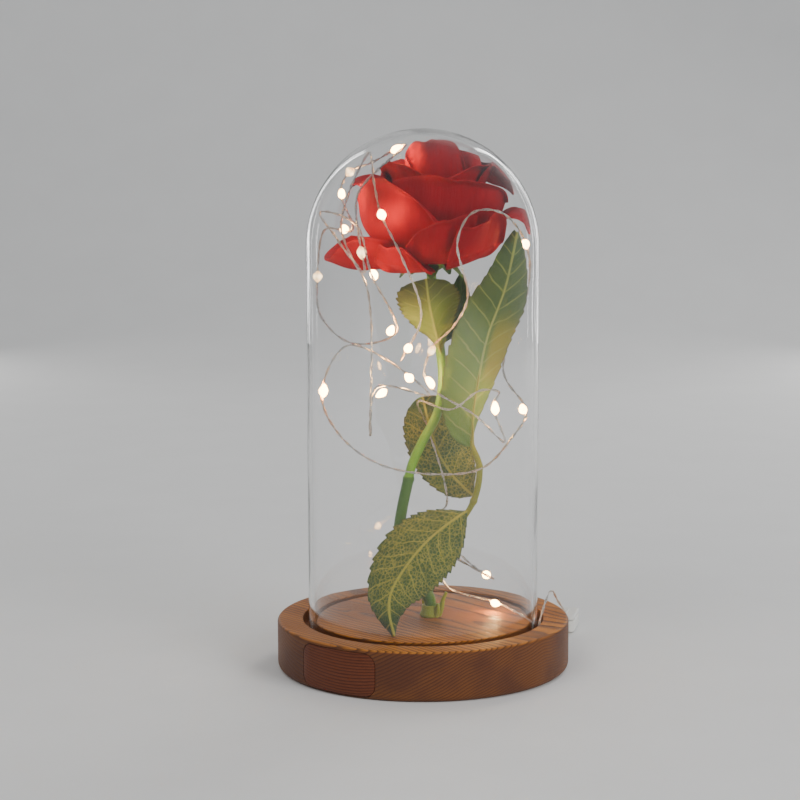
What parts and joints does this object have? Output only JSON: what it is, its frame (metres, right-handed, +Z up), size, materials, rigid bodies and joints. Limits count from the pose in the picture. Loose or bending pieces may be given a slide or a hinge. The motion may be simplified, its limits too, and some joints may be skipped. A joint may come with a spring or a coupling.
{
  "type": "cloth rose in a glass dome",
  "caption": "Red cloth rose with leaves, wound with a wire of small warm lamps, standing under a clear glass dome on a round brown wooden base.",
  "frame": {"origin": "centre of the flat underside of the wooden base, on the surface it stands on", "axes": "+Z up along the dome's axis; the front, where the battery door is seen at the left, looks along -Y; +X to the right"},
  "size_m": [0.1517, 0.158, 0.257],
  "materials": {
    "base_wood": "stained and lightly waxed, open grain",
    "door_wood": "stained redder than the base, satin",
    "glass": "clear, polished",
    "stem": "satin green plastic",
    "branch": "satin yellow-green plastic",
    "leaf": "printed green cloth with pale veins",
    "calyx": "matt green plastic",
    "petal": "fine woven red cloth, thin enough to glow",
    "wire": "thin bright silver wire",
    "lamp": "clear resin drop round a warm lamp",
    "case": "pale satin plastic"
  },
  "bodies": {
    "root": {"wooden_base": "base_wood", "battery_door": "door_wood", "glass_dome": "glass", "main_stem": "stem", "branch_stem": "branch", "stem_foot": "branch", "calyx": "calyx", "light_wire": "wire", "battery_case": "case", "case_lid": "case", "case_switch": "case", "leaf_under_flower": "leaf", "leaf_behind_flower": "leaf", "leaf_upper_right": "leaf", "leaf_middle": "leaf", "leaf_lower": "leaf", "sepal_1": "calyx", "sepal_2": "calyx", "sepal_3": "calyx", "sepal_4": "calyx", "sepal_5": "calyx", "petal_01": "petal", "petal_02": "petal", "petal_03": "petal", "petal_04": "petal", "petal_05": "petal", "petal_06": "petal", "petal_07": "petal", "petal_08": "petal", "petal_09": "petal", "petal_10": "petal", "petal_11": "petal", "petal_12": "petal", "petal_13": "petal", "petal_14": "petal", "petal_15": "petal", "petal_16": "petal", "petal_17": "petal", "petal_18": "petal", "petal_19": "petal", "lamp_01": "lamp", "lamp_02": "lamp", "lamp_03": "lamp", "lamp_04": "lamp", "lamp_05": "lamp", "lamp_06": "lamp", "lamp_07": "lamp", "lamp_08": "lamp", "lamp_09": "lamp", "lamp_10": "lamp", "lamp_11": "lamp", "lamp_12": "lamp", "lamp_13": "lamp", "lamp_14": "lamp", "lamp_15": "lamp", "lamp_16": "lamp", "lamp_17": "lamp", "lamp_18": "lamp", "lamp_19": "lamp", "lamp_20": "lamp"}
  },
  "joints": []
}
